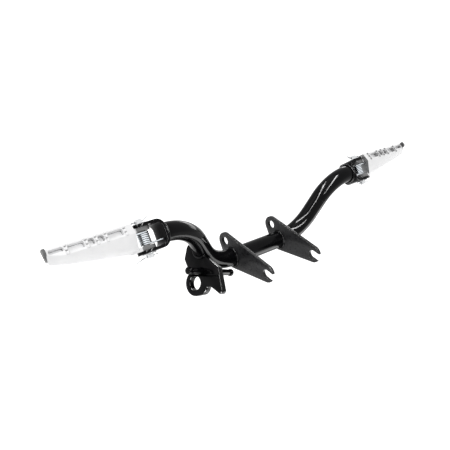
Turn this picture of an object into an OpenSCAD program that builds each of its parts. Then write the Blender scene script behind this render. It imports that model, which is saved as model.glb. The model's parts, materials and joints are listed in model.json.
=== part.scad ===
// Footrest carrier: a bent cross tube on two engine plates, with a side stand bracket
// and a spring-return folding footpeg in a clevis at each end.
// X runs along the cross tube, Y forwards and Z up, all in millimetres.
// The origin lies midway between the engine plates, on the axis of their bolt holes.

/* [Cross tube] */
// Outer diameter of the cross tube
tube_d = 22; // [18:0.5:26]
// Wall thickness of the cross tube
tube_wall = 2.5; // [1.5:0.1:4]
// Distance of the tube axis behind the bolt holes
tube_back = 17; // [15:0.5:22]
// Distance of the middle of the tube below the bolt holes
tube_drop = 13.5; // [11:0.5:18]
// Length of the straight middle of the tube
tube_middle = 84; // [80:1:110]
// Centreline radius of the lower bends
lower_bend_r = 58; // [50:1:66]
// Centreline radius of the upper bends
upper_bend_r = 58; // [50:1:66]
// Angle that each arm turns through
bend_angle = 57; // [50:1:62]
// Rise of the arm ends above the middle of the tube
arm_rise = 71.5; // [68:0.5:84]
// Straight length after the upper bend
tube_end = 2; // [1:0.5:8]

/* [Engine plates] */
// Distance between the middles of the two plates
plate_gap = 80; // [66:1:84]
// Thickness of each plate
plate_t = 4; // [3:0.5:6]
// Diameter of the bolt hole and width of the slot
bolt_hole_d = 10.4; // [8.4:0.1:12]
// Radius of the rounded tab round the bolt hole
tab_r = 11; // [9.5:0.5:12]
// Distance from the bolt hole to the round end of the slot
slot_pitch = 75.5; // [66:0.5:90]
// Radius of the rounded fork end
fork_r = 11; // [9.5:0.5:12]
// Width of plate left round the tube
saddle_rim = 3.5; // [2.5:0.5:5]

/* [Welds] */
// Leg length of the weld beads round the tube
bead_leg = 1.8; // [1.2:0.1:3]

/* [Stand bracket] */
// Tilt of the bracket from square to the cross tube
lug_tilt = 23; // [12:1:26]
// Distance of the bracket up the straight part of the arm
lug_along = 10.5; // [8:0.5:14]
// Thickness of the bracket
lug_t = 8; // [6:0.5:10]
// Diameter of the stand's pivot hole
pivot_hole_d = 16; // [14:0.5:18]
// Radius of the round lobe about the pivot hole
lobe_r = 15; // [13:0.5:16]
// Distance of the pivot hole behind the tube axis
pivot_back = 16; // [14:0.5:18]
// Distance of the pivot hole below the tube axis
pivot_drop = 40; // [37:0.5:43]
// Depth of the step across the outer face
step_depth = 0.8; // [0.4:0.1:1.5]

/* [Spring post] */
// Diameter of the spring post
post_d = 7.5; // [6:0.5:8]
// Diameter of the grooves near its ends
post_neck_d = 5; // [4:0.5:5.5]
// Diameter of its heads
post_head_d = 8.6; // [8.2:0.1:10]
// Width of each groove
post_neck = 3; // [2:0.5:4]
// Length of each head
post_head = 4; // [3:0.5:5]
// Length of the post outside the bracket
post_out = 22; // [18:1:30]
// Length of the post inside the bracket
post_in = 47; // [30:1:50]

/* [Clevis] */
// Tilt of the hinge pins from level
pin_tilt = 45; // [35:1:50]
// Clear gap between the two flanges
clevis_gap = 25; // [24:0.5:30]
// Thickness of the clevis strap
clevis_t = 3; // [2.5:0.25:4]
// Width of the clevis strap
clevis_w = 24; // [23:0.5:28]
// Distance from the web to the hinge pin
web_to_pin = 20; // [18:0.5:24]
// Outer radius of the corners of the clevis
clevis_corner_r = 10; // [6:0.5:12]

/* [Hinge pins] */
// Diameter of the hinge pin
pin_d = 8; // [7:0.25:8.5]
// Distance of each split pin hole beyond the washer
pin_hole_out = 1.9; // [1.7:0.1:2.5]
// Length of pin beyond each split pin hole
pin_end = 2.4; // [2:0.1:3.5]
// Radial clearance of the pin in its bores
running_gap = 0.05; // [0.02:0.01:0.1]
// Small gap left between pieces that nearly touch
seat_gap = 0.3; // [0.2:0.05:0.4]
// Outer diameter of the washers
washer_d = 15; // [13:0.5:17]
// Thickness of the washers
washer_t = 1.4; // [1:0.1:2]
// Further play of the washers on the pin
washer_play = 0.3; // [0.1:0.1:0.6]
// Diameter of the split pin's doubled shank
split_pin_d = 2.6; // [2:0.1:3]
// Diameter of the split pin's eye, measured over the wire
split_eye_d = 6; // [5:0.5:8]
// Length of the split pin's long leg
split_leg = 15; // [10:1:18]

/* [Torsion springs] */
// Diameter of the spring wire
wire_d = 2; // [1.6:0.1:2]
// Mean diameter of the spring coil
coil_d = 11.6; // [11.4:0.1:12.4]
// Number of turns in each coil
coil_turns = 6; // [4:1:6]

/* [Footpegs] */
// Length of the footpeg from its hinge pin to its tip
peg_length = 108; // [96:1:120]
// Radius of the hinge lugs
peg_lug_r = 9; // [7.5:0.5:10]
// Thickness of each hinge lug
peg_lug_t = 4.2; // [3.5:0.1:5]
// Clearance between the clevis ends and the footpeg
peg_root_gap = 0.5; // [0.3:0.1:1]
// Downward rake of the footpeg from square to its arm
peg_rake = 2.4; // [0:0.2:4]
// Tilt of the tread across its width
tread_tilt = 19.8; // [16:0.2:24]
// Width of the tread
tread_w = 11.8; // [11:0.2:14]
// Distance of the tread's near edge above the pin
ridge_up = 12.5; // [11:0.5:14]
// Distance of the tread's near edge along the pin
ridge_along = 7.3; // [6:0.1:8]
// Depth of the footpeg below the pin axis
peg_belly = 6.5; // [5:0.5:7]
// Height of the raised lip at the tip
lip_h = 4; // [3:0.25:5]
// Thickness of the raised lip
lip_t = 3; // [2:0.25:4]
// Distance from the pin to the first row of teeth
tooth_start = 22; // [20:0.5:24]
// Spacing of the close rows of teeth
tooth_pitch = 10.5; // [9:0.25:11.5]
// Height of each tooth above the tread
tooth_h = 1.8; // [1:0.1:2.5]
// Length of each tooth along the footpeg
tooth_len = 3.4; // [2.5:0.1:4]
// Width of each tooth across the tread
tooth_w = 2.6; // [2:0.1:3]
// Width of the rails along the tread
rail_w = 2.2; // [1.6:0.1:2.8]
// Depth of the pockets between the rows of teeth
pocket_depth = 4.5; // [3:0.5:8]
// Corner radius of the pockets
pocket_r = 1.6; // [1:0.1:1.8]

/* [Hidden] */
$fn = 64;
LEFT = -1;
RIGHT = 1;
// Overrun of cutting shapes past the faces they cut
cut = 1;
// Thickness of the slices that span the footpeg
slice = 0.5;
// Distance that the lip and the teeth stand in from the edges of the footpeg
edge_inset = 0.15;
// Chamfer at the ends of the pins and the post
end_chamfer = 0.8;

// Length and inset by which the slanting straights run inside the bends' ends
lap = 0.4;
lap_inset = 0.08;
// Depth by which straight edges cut into the arcs that they run out of
tangent_inset = 0.02;

// Tube route, seen from behind: each arm is a bend, a straight and a second bend
tube_r = tube_d / 2;
bend_rise = (lower_bend_r + upper_bend_r) * (1 - cos(bend_angle));
arm_straight = (arm_rise - bend_rise) / sin(bend_angle);
lower_end = [tube_middle / 2 + lower_bend_r * sin(bend_angle),
    lower_bend_r * (1 - cos(bend_angle))];
along_arm = [cos(bend_angle), sin(bend_angle)];
upper_start = lower_end + arm_straight * along_arm;
upper_centre = upper_start + upper_bend_r * [sin(bend_angle), -cos(bend_angle)];
web_x = upper_centre[0] + tube_end;

// Hinge: the pin stands in the middle of the arm's end
pin_x = web_x + clevis_t + web_to_pin;
arm_z = arm_rise - tube_drop;
clevis_half = clevis_gap / 2 + clevis_t;
clevis_end_r = clevis_w / 2;
pin_bore_d = pin_d + 2 * running_gap;
split_pin_y = clevis_half + washer_t + pin_hole_out;
pin_half = split_pin_y + pin_end;

// Stand bracket: points in its own plane, across and up from the tube axis
lug_point = lower_end + lug_along * along_arm;
pivot_at = [-pivot_back, -pivot_drop];
post_at = pivot_at + [0, 16];
heel_at = pivot_at + [-8, 2];
heel_r = lobe_r - 4;
tip_back = 38;
tip_up = 10;
lug_top = -6;
ear = [[13, -8], [19.5, -9.5], [19.5, -14]];
flank = [[15, -27], [4, -33]];
step_through = pivot_at + [14, 2.4];
step_angle = 149;
step_reach = 80;

// Footpeg sections: each list goes round the section from the far edge of the tread
peg_root = clevis_end_r + peg_root_gap;
peg_lug_y = clevis_gap / 2 - seat_gap - peg_lug_t;
far_edge = [ridge_along, ridge_up] + tread_w * [cos(tread_tilt), -sin(tread_tilt)];
root_near = -9.2;
nose_x = peg_length - 20;
tooth_rows = [0, 2, 3, 4, 6];
root_section = [far_edge, [ridge_along, ridge_up], [root_near, 6.9],
    [-clevis_gap / 2 + seat_gap, 2], [-clevis_gap / 2 + seat_gap, 1.5 - peg_belly],
    [root_near, -peg_belly], far_edge - [3, far_edge[1] + peg_belly],
    far_edge - [0, far_edge[1] + peg_belly - 3]];
nose_section = [far_edge, [ridge_along, ridge_up], [0.3, 7.4], [-0.6, 2],
    [1, 1 - peg_belly], far_edge - [3, far_edge[1] + peg_belly - 1],
    far_edge - [0, far_edge[1] + peg_belly - 4]];
tip_section = [far_edge, far_edge - tread_w / 2 * [cos(tread_tilt), -sin(tread_tilt)],
    [3, 7.5], [4, -2], far_edge - [2, far_edge[1] + 2]];
tip_slope = 5;
row_margin = 0.4;
lip_overlap = 1.5;
lip_sink = 1.6;

// Spring: the coil winds about the pin, with a leg to the web and a leg to the footpeg
coil_r = coil_d / 2;
turn_gap = 0.12;
coil_pitch = wire_d + turn_gap;
coil_steps = 20;
leg_to_web = web_to_pin - wire_d / 2 - seat_gap;
leg_to_peg = 15;
wire_sides = 8;

// The two points where a straight edge meets two circles, a hair inside each circle
function tangent_side(a, ra, b, rb, side) =
    let (d = b - a, len = norm(d), u = d / len, k = (ra - rb) / len,
        n = [u[0] * k - side * u[1] * sqrt(1 - k * k),
            u[1] * k + side * u[0] * sqrt(1 - k * k)])
    [a + (ra - tangent_inset) * n, b + (rb - tangent_inset) * n];

// Two discs joined by their outer tangents
module belt(a, ra, b, rb) {
    one = tangent_side(a, ra, b, rb, 1);
    two = tangent_side(a, ra, b, rb, -1);
    translate(a) circle(r = ra);
    translate(b) circle(r = rb);
    polygon([one[0], one[1], two[1], two[0]]);
}

// Weld fillet round a tube, standing up from z = 0
module bead(d) {
    rotate_extrude()
        polygon([[d / 2, 0], [d / 2 + bead_leg, 0], [d / 2 + bead_leg / 3, bead_leg / 3],
            [d / 2, bead_leg]]);
}

module tube_section(inset = 0) {
    difference() {
        circle(d = tube_d - 2 * inset);
        circle(d = tube_d - 2 * tube_wall + 2 * inset);
    }
}

// One arm drawn flat: x outwards and y up from the middle of the tube
module arm() {
    translate([tube_middle / 2, lower_bend_r])
        rotate(-90)
            rotate_extrude(angle = bend_angle) translate([lower_bend_r, 0]) tube_section();
    translate(lower_end)
        rotate(bend_angle)
            rotate([90, 0, 90])
                translate([0, 0, -lap])
                    linear_extrude(arm_straight + 2 * lap) tube_section(lap_inset);
    translate(upper_centre)
        rotate(90)
            rotate_extrude(angle = bend_angle) translate([upper_bend_r, 0]) tube_section();
    translate([upper_centre[0], arm_rise])
        rotate([90, 0, 90]) linear_extrude(tube_end) tube_section();
}

module cross_tube() {
    color("#18181b")
        translate([0, -tube_back, -tube_drop]) {
            rotate([90, 0, 90]) linear_extrude(tube_middle, center = true) tube_section();
            for (side = [LEFT, RIGHT])
                mirror([side == LEFT ? 1 : 0, 0, 0]) rotate([90, 0, 0]) arm();
        }
}

// Plate outline: a tab round the hole, a saddle round the tube and a forked end
module plate_outline() {
    hole = [0, 0];
    saddle = [-tube_back, -tube_drop];
    slot = [-slot_pitch, 0];
    saddle_r = tube_r + saddle_rim;
    difference() {
        union() {
            translate(hole) circle(r = tab_r);
            translate(slot) circle(r = fork_r);
            translate(saddle) circle(r = saddle_r);
            polygon(concat(tangent_side(hole, tab_r, slot, fork_r, -1),
                tangent_side(slot, fork_r, saddle, saddle_r, -1),
                tangent_side(saddle, saddle_r, hole, tab_r, -1)));
        }
        circle(d = bolt_hole_d);
        translate(saddle) circle(d = tube_d);
        translate(slot) circle(d = bolt_hole_d);
        translate(slot - [fork_r + cut, bolt_hole_d / 2])
            square([fork_r + cut, bolt_hole_d]);
    }
}

module engine_plate(side) {
    color("#2a2a2e")
        translate([side * plate_gap / 2, 0, 0]) {
            rotate([90, 0, 90]) linear_extrude(plate_t, center = true) plate_outline();
            for (face = [-1, 1])
                translate([face * plate_t / 2, -tube_back, -tube_drop])
                    rotate([0, face * 90, 0]) bead(tube_d);
        }
}

// The stand bracket's own plane: x forwards, y up, z towards the middle of the tube
module to_bracket() {
    translate([-lug_point[0], -tube_back, lug_point[1] - tube_drop])
        rotate([0, lug_tilt, 0])
            rotate([90, 0, 90])
                children();
}

// The part of the arm that the bracket is cut round, in the bracket's plane
module arm_through_bracket() {
    rotate([bend_angle - lug_tilt, 0, 0])
        cylinder(d = tube_d, h = 8 * lug_t, center = true);
}

// Round lobe about the pivot hole, drawn out towards the heel
module bracket_lobe() {
    belt(pivot_at, lobe_r, heel_at, heel_r);
}

// Upper part of the bracket: its top, ear and flank, and the stop that runs out behind
module bracket_top() {
    polygon(concat([[-35, lug_top], [0, lug_top]], ear, flank,
        [pivot_at + [lobe_r / 2, -2], pivot_at, heel_at + [1 - heel_r / 2, -1],
            pivot_at + [-20, tip_up - 2], pivot_at + [-21.5, tip_up - 0.5],
            pivot_at + [-tip_back, tip_up], pivot_at + [-tip_back - 1.5, tip_up + 1.5],
            pivot_at + [-tip_back - 1.5, tip_up + 5]]));
}

module stand_bracket() {
    color("#242428")
        to_bracket() {
            difference() {
                union() {
                    linear_extrude(lug_t) bracket_lobe();
                    linear_extrude(lug_t) bracket_top();
                }
                arm_through_bracket();
                translate([pivot_at[0], pivot_at[1], -cut])
                    cylinder(d = pivot_hole_d, h = lug_t + 2 * cut);
                translate([post_at[0], post_at[1], -cut])
                    cylinder(d = post_d, h = lug_t + 2 * cut);
                translate([0, 0, -cut])
                    linear_extrude(step_depth + cut) step_region();
            }
        }
}

// Everything above the slanting step, which passes just over the pivot hole
module step_region() {
    translate(step_through)
        rotate(step_angle)
            translate([-step_reach, -step_reach]) square([2 * step_reach, step_reach]);
}

module stand_spring_post() {
    groove_out = post_out - post_head;
    groove_in = lug_t + post_in - post_head;
    color("#202024")
        to_bracket()
            translate([post_at[0], post_at[1], 0])
                rotate_extrude()
                    polygon([[0, -post_out], [post_head_d / 2 - end_chamfer, -post_out],
                        [post_head_d / 2, end_chamfer - post_out],
                        [post_head_d / 2, -groove_out],
                        [post_neck_d / 2, -groove_out],
                        [post_neck_d / 2, post_neck - groove_out],
                        [post_d / 2, post_neck - groove_out],
                        [post_d / 2, groove_in - post_neck],
                        [post_neck_d / 2, groove_in - post_neck],
                        [post_neck_d / 2, groove_in],
                        [post_head_d / 2, groove_in],
                        [post_head_d / 2, lug_t + post_in - end_chamfer],
                        [post_head_d / 2 - end_chamfer, lug_t + post_in],
                        [0, lug_t + post_in]]);
}

// The hinge's own frame: x outwards, y up along the pin, z up and back off the tread
module to_hinge(side) {
    mirror([side == LEFT ? 1 : 0, 0, 0])
        translate([pin_x, -tube_back, arm_z])
            rotate([pin_tilt, 0, 0])
                children();
}

// A strap end seen along the strap's width: square outwards, round at the web
module strap_shape(back, half, corner) {
    translate([-back + corner, -half]) square([back - corner + clevis_end_r, 2 * half]);
    translate([-back, corner - half]) square([back + clevis_end_r, 2 * (half - corner)]);
    for (s = [-1, 1]) translate([corner - back, s * (half - corner)]) circle(r = corner);
}

module clevis(side) {
    back = web_to_pin + clevis_t;
    color("#1c1c1f")
        to_hinge(side) {
            difference() {
                intersection() {
                    linear_extrude(clevis_w, center = true)
                        difference() {
                            strap_shape(back, clevis_half, clevis_corner_r);
                            strap_shape(web_to_pin, clevis_gap / 2, clevis_corner_r - clevis_t);
                        }
                    rotate([90, 0, 0])
                        linear_extrude(2 * clevis_half + 2 * cut, center = true)
                            union() {
                                circle(r = clevis_end_r);
                                translate([-back - cut, -clevis_end_r])
                                    square([back + cut, 2 * clevis_end_r]);
                            }
                }
                rotate([90, 0, 0])
                    cylinder(d = pin_bore_d, h = 2 * clevis_half + 2 * cut, center = true);
            }
            translate([-back, 0, 0]) rotate([0, -90, 0]) bead(tube_d);
        }
}

module hinge_pin(side) {
    color("#c9ccd0")
        to_hinge(side)
            difference() {
                rotate([90, 0, 0])
                    rotate_extrude()
                        polygon([[0, -pin_half], [pin_d / 2 - end_chamfer, -pin_half],
                            [pin_d / 2, end_chamfer - pin_half],
                            [pin_d / 2, pin_half - end_chamfer],
                            [pin_d / 2 - end_chamfer, pin_half], [0, pin_half]]);
                for (s = [-1, 1])
                    translate([0, s * split_pin_y, 0])
                        rotate([0, 90, 0])
                            cylinder(d = split_pin_d + 2 * running_gap, h = 2 * pin_d,
                                center = true);
            }
}

module washer(side, end) {
    color("#d4d7da")
        to_hinge(side)
            translate([0, end * (clevis_half + washer_t / 2), 0])
                rotate([90, 0, 0])
                    linear_extrude(washer_t, center = true)
                        difference() {
                            circle(d = washer_d);
                            circle(d = pin_bore_d + washer_play);
                        }
}

// Points along a split pin's wire: long leg, shank, eye, shank again and the bent leg
split_wire_d = split_pin_d / 2;
split_shank = pin_d / 2 + split_wire_d / 2;
split_strand = split_wire_d / 2 + running_gap / 2;
split_eye_r = (split_eye_d - split_wire_d) / 2;
split_mouth = asin(split_strand / split_eye_r);
eye_back = split_shank + split_eye_r * cos(split_mouth);
leg_rise = 3.5;
leg_splay = 1.5;
bent_leg = [[1.3, 0.3, -1.2], [1.4, 1.2, -2.4], [0.6, 2.4, -split_leg / 3]];
function split_route(end, leg) = concat(
    [[split_shank + leg, end * leg_rise, leg_splay],
        [split_shank + split_wire_d, 0, split_strand],
        [split_shank, 0, split_strand], [-split_shank, 0, split_strand]],
    [for (t = [split_mouth + 20 : 20 : 350 - split_mouth])
        [split_eye_r * cos(t) - eye_back, 0, split_eye_r * sin(t)]],
    [[-split_shank, 0, -split_strand], [split_shank, 0, -split_strand]],
    [for (b = bent_leg) [split_shank + b[0], end * b[1], b[2]]]);

module split_pin(side, end) {
    color("#e0e2e4")
        to_hinge(side)
            translate([0, end * split_pin_y, 0])
                mirror([end > 0 ? 1 : 0, 0, 0])
                    swept_wire(split_route(end, end > 0 ? split_leg / 2 : split_leg),
                        split_wire_d);
}

// Points along the spring wire: leg to the web, the coil, then leg to the footpeg
coil_half = coil_pitch * coil_turns / 2;
function coil_point(t) =
    [coil_r * sin(t), t / 360 * coil_pitch - coil_half, coil_r * cos(t)];
spring_route = concat(
    [[-leg_to_web, -coil_half, coil_r], [-leg_to_web / 2, -coil_half, coil_r]],
    [for (i = [0 : coil_turns * coil_steps]) coil_point(i * 360 / coil_steps)],
    [[leg_to_peg / 2, coil_half, coil_r], [leg_to_peg, coil_half, coil_r]]);

module torsion_spring(side) {
    color("#dfe5ea")
        to_hinge(side)
            swept_wire(spring_route, wire_d);
}

function heading(p, i) =
    let (a = p[max(i - 1, 0)], b = p[min(i + 1, len(p) - 1)]) (b - a) / norm(b - a);
// A ring of points square to the wire, with one side kept facing along the hinge pin
function wire_ring(p, i, d) =
    let (h = heading(p, i), s = cross(h, [0, 1, 0]), u = s / norm(s), v = cross(u, h))
    [for (k = [0 : wire_sides - 1])
        p[i] + d / 2 * (cos(k * 360 / wire_sides) * u + sin(k * 360 / wire_sides) * v)];

// Round wire swept along a list of points
module swept_wire(p, d) {
    n = len(p);
    rings = [for (i = [0 : n - 1]) each wire_ring(p, i, d)];
    walls = [for (i = [0 : n - 2], k = [0 : wire_sides - 1])
        let (a = i * wire_sides + k, b = i * wire_sides + (k + 1) % wire_sides)
        [a, b, b + wire_sides, a + wire_sides]];
    start = [for (k = [wire_sides - 1 : -1 : 0]) k];
    finish = [for (k = [0 : wire_sides - 1]) (n - 1) * wire_sides + k];
    polyhedron(points = rings, faces = concat(walls, [start, finish]));
}

// The tread's own frame: x outwards, y across the tread from its near edge, z off it
module on_tread() {
    translate([0, ridge_along, ridge_up]) rotate([-tread_tilt, 0, 0]) children();
}

module peg_slice(x, section) {
    translate([x, 0, 0])
        rotate([90, 0, 90]) linear_extrude(slice) polygon(section);
}

module peg_blank() {
    hull() {
        peg_slice(peg_root, root_section);
        peg_slice(nose_x, nose_section);
        peg_slice(peg_length - tip_slope, tip_section);
        on_tread()
            translate([peg_length - slice - edge_inset, tread_w / 2, -2])
                cube([slice, tread_w / 2, 2]);
    }
}

module peg_lip() {
    lip_from = tread_w / 2 - lip_overlap;
    on_tread()
        translate([peg_length - lip_t, 0, 0])
            rotate([90, 0, 90])
                linear_extrude(lip_t)
                    polygon([[lip_from, -lip_sink], [tread_w - edge_inset, -lip_sink],
                        [tread_w - edge_inset, lip_h - 1], [tread_w - 1, lip_h],
                        [lip_from + 2, lip_h], [lip_from, lip_h - 2]]);
}

module peg_tooth(x, y) {
    on_tread()
        translate([x, y, 0])
            rotate([90, 0, 0])
                linear_extrude(tooth_w, center = true)
                    polygon([[-tooth_len / 2, -cut], [tooth_len / 2, -cut], [tooth_len / 2, 0],
                        [tooth_len / 4, tooth_h], [-tooth_len / 4, tooth_h],
                        [-tooth_len / 2, 0]]);
}

// Round-ended pocket cut square into the tread
module peg_pocket(x0, x1, y0, y1) {
    r = pocket_r;
    on_tread()
        translate([0, 0, -pocket_depth])
            linear_extrude(pocket_depth + cut) {
                translate([x0 + r, y0]) square([x1 - x0 - 2 * r, y1 - y0]);
                translate([x0, y0 + r]) square([x1 - x0, y1 - y0 - 2 * r]);
                for (x = [x0 + r, x1 - r], y = [y0 + r, y1 - r]) translate([x, y]) circle(r = r);
            }
}

module peg_body(rows) {
    web = tooth_len / 2 + row_margin;
    difference() {
        union() {
            peg_blank();
            peg_lip();
            for (s = [-1, 1]) peg_lug(s);
        }
        for (i = [0 : len(rows) - 2])
            peg_pocket(rows[i] + web, rows[i + 1] - web, rail_w, tread_w - rail_w);
        peg_pocket(rows[len(rows) - 1] + web, peg_length - lip_t - 3,
            tread_w / 2 - 1, tread_w - rail_w);
        rotate([90, 0, 0])
            cylinder(d = pin_bore_d, h = clevis_gap + 2 * cut, center = true);
        spring_leg_hole();
    }
}

module peg(side) {
    rows = [for (k = tooth_rows) tooth_start + k * tooth_pitch];
    tooth_in = tooth_w / 2 + edge_inset;
    color("#eceef0")
        to_hinge(side)
            rotate([0, peg_rake, 0]) {
                peg_body(rows);
                for (x = rows, y = [tooth_in, tread_w / 2, tread_w - tooth_in])
                    peg_tooth(x, y);
            }
}

// Hinge lug: a round ear on the pin that runs out into the body of the footpeg
module peg_lug(s) {
    y0 = s > 0 ? peg_lug_y : -peg_lug_y - peg_lug_t;
    translate([0, y0 + peg_lug_t, 0])
        rotate([90, 0, 0])
            linear_extrude(peg_lug_t)
                belt([0, 0], peg_lug_r, [peg_root + 2, -0.5], peg_belly - 1);
}

// Blind hole in the root that takes the end of the spring's leg
module spring_leg_hole() {
    rotate([0, -peg_rake, 0])
        translate([0, coil_half, coil_r])
            rotate([0, 90, 0])
                cylinder(d = wire_d + 2 * seat_gap, h = leg_to_peg + seat_gap);
}

module engine_plate_left() { engine_plate(LEFT); }
module engine_plate_right() { engine_plate(RIGHT); }
module clevis_left() { clevis(LEFT); }
module clevis_right() { clevis(RIGHT); }
module peg_left() { peg(LEFT); }
module peg_right() { peg(RIGHT); }
module hinge_pin_left() { hinge_pin(LEFT); }
module hinge_pin_right() { hinge_pin(RIGHT); }
module washer_upper_left() { washer(LEFT, 1); }
module washer_lower_left() { washer(LEFT, -1); }
module washer_upper_right() { washer(RIGHT, 1); }
module washer_lower_right() { washer(RIGHT, -1); }
module split_pin_upper_left() { split_pin(LEFT, 1); }
module split_pin_lower_left() { split_pin(LEFT, -1); }
module split_pin_upper_right() { split_pin(RIGHT, 1); }
module split_pin_lower_right() { split_pin(RIGHT, -1); }
module torsion_spring_left() { torsion_spring(LEFT); }
module torsion_spring_right() { torsion_spring(RIGHT); }

cross_tube();
engine_plate_left();
engine_plate_right();
stand_bracket();
stand_spring_post();
clevis_left();
clevis_right();
peg_left();
peg_right();
hinge_pin_left();
hinge_pin_right();
washer_upper_left();
washer_lower_left();
washer_upper_right();
washer_lower_right();
split_pin_upper_left();
split_pin_lower_left();
split_pin_upper_right();
split_pin_lower_right();
torsion_spring_left();
torsion_spring_right();
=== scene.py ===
import json
import math

import bmesh
import bpy
from mathutils import Euler, Matrix, Vector

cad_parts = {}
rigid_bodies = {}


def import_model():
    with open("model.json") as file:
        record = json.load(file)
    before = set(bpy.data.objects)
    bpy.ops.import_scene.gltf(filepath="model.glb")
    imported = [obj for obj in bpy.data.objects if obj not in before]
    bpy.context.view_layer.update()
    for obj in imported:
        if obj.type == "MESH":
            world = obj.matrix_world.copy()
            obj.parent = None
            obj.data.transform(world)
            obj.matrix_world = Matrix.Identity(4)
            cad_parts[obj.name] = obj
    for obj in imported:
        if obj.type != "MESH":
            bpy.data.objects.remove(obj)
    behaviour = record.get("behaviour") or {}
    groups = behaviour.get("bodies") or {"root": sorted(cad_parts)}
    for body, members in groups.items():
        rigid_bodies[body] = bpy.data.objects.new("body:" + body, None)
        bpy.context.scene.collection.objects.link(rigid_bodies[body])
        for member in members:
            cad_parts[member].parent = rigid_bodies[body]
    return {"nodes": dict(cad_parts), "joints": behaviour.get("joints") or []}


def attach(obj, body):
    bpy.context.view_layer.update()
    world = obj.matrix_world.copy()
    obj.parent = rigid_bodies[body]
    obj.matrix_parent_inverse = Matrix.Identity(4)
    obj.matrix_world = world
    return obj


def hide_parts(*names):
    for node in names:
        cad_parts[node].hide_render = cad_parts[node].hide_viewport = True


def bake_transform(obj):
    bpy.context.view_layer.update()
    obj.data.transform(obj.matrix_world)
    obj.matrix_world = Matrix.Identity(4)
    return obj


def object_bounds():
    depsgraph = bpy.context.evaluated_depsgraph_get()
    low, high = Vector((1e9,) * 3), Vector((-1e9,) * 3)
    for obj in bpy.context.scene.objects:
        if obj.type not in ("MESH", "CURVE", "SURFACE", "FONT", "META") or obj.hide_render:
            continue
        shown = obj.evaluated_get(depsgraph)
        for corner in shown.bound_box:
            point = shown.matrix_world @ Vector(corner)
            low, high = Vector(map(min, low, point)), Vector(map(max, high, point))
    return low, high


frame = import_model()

bl_info = {
    "name": "Footrest carrier",
    "version": (1, 0, 0),
    "blender": (4, 5, 0),
    "location": "3D View > Sidebar > Footrest",
    "description": "Dresses a bent footrest carrier with painted steel and cast footpegs",
    "category": "Object",
}

MM = 0.001
CARRIER = "carrier"
SIDES = (("left", -1), ("right", 1))
CAD_BOX = [list(corner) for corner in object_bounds()]


# ---------------------------------------------------------------- settings

class FootrestSizes(bpy.types.PropertyGroup):
    """Sizes of the small forms that finish the solids"""

    plate_edge: bpy.props.FloatProperty(
        name="Plate edge", description="Rounding of the cut edges of the steel plates",
        default=0.55 * MM, min=0.0, unit="LENGTH")
    strap_edge: bpy.props.FloatProperty(
        name="Strap edge", description="Rounding of the edges of the clevis straps",
        default=0.5 * MM, min=0.0, unit="LENGTH")
    peg_edge: bpy.props.FloatProperty(
        name="Footpeg edge", description="Rounding of the edges of the cast footpegs",
        default=0.35 * MM, min=0.0, unit="LENGTH")
    pin_edge: bpy.props.FloatProperty(
        name="Pin edge", description="Rounding of the edges of pins and washers",
        default=0.18 * MM, min=0.0, unit="LENGTH")
    wire: bpy.props.FloatProperty(
        name="Spring wire", description="Diameter of the torsion spring wire",
        default=2.0 * MM, min=0.0, unit="LENGTH")
    coil: bpy.props.FloatProperty(
        name="Spring coil", description="Mean diameter of the torsion spring's coil",
        default=11.6 * MM, min=0.0, unit="LENGTH")
    turns: bpy.props.IntProperty(
        name="Turns", description="Turns of wire in each torsion spring", default=6, min=1)
    coil_pitch: bpy.props.FloatProperty(
        name="Coil pitch", description="Distance from one turn of the spring to the next",
        default=2.12 * MM, min=0.0, unit="LENGTH")
    web_leg: bpy.props.FloatProperty(
        name="Leg to the web", description="Length of the spring's leg towards the clevis web",
        default=18.7 * MM, min=0.0, unit="LENGTH")
    peg_leg: bpy.props.FloatProperty(
        name="Leg to the footpeg", description="Length of the spring's leg towards the footpeg",
        default=15.0 * MM, min=0.0, unit="LENGTH")
    split_wire: bpy.props.FloatProperty(
        name="Split pin wire", description="Diameter of each split pin's wire",
        default=1.28 * MM, min=0.0, unit="LENGTH")
    split_leg: bpy.props.FloatProperty(
        name="Split pin leg", description="Length of the lower split pins' long leg",
        default=15.0 * MM, min=0.0, unit="LENGTH")
    bead: bpy.props.FloatProperty(
        name="Weld bead", description="Half width of the weld beads",
        default=1.7 * MM, min=0.0, unit="LENGTH")
    ripple: bpy.props.FloatProperty(
        name="Weld ripple", description="Distance between the ripples of a weld bead",
        default=1.5 * MM, min=0.0, unit="LENGTH")


class FootrestPaint(bpy.types.PropertyGroup):
    """Colours of the paint and the bare metals"""

    tube: bpy.props.FloatVectorProperty(
        name="Tube paint", description="Gloss black of the tube, straps and post",
        default=(0.003, 0.003, 0.0035), size=3, min=0.0, max=1.0, subtype="COLOR")
    plate: bpy.props.FloatVectorProperty(
        name="Plate paint", description="Satin black of the engine plates and the stand bracket",
        default=(0.014, 0.014, 0.015), size=3, min=0.0, max=1.0, subtype="COLOR")
    peg: bpy.props.FloatVectorProperty(
        name="Footpeg metal", description="Bright cast aluminium of the footpegs",
        default=(0.93, 0.93, 0.935), size=3, min=0.0, max=1.0, subtype="COLOR")
    zinc: bpy.props.FloatVectorProperty(
        name="Zinc", description="Zinc plating of pins, washers and split pins",
        default=(0.76, 0.77, 0.78), size=3, min=0.0, max=1.0, subtype="COLOR")
    spring: bpy.props.FloatVectorProperty(
        name="Spring steel", description="Bright steel of the torsion springs",
        default=(0.82, 0.86, 0.9), size=3, min=0.0, max=1.0, subtype="COLOR")


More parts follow.
